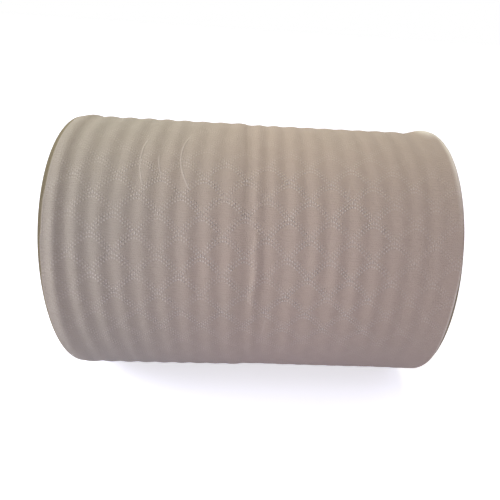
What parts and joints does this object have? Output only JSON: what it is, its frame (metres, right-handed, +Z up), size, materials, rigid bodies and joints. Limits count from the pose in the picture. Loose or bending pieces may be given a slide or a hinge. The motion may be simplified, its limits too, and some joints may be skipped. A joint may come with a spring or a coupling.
{
  "type": "paper towel roll",
  "caption": "Roll of embossed paper towel on a cardboard tube, with soft ridges round it, lying on its side.",
  "frame": {"origin": "middle of the flat spot that the roll lies on, on the surface it lies on", "axes": "+X along the roll, from the end with the strongest ridges to the end where they fade; +Y to the back, away from the side the picture shows; +Z up"},
  "size_m": [0.2, 0.1482, 0.1464],
  "materials": {
    "towel_paper": "matte",
    "core_board": "matte"
  },
  "bodies": {
    "root": {"paper_roll": "towel_paper", "core_tube": "core_board"}
  },
  "joints": []
}
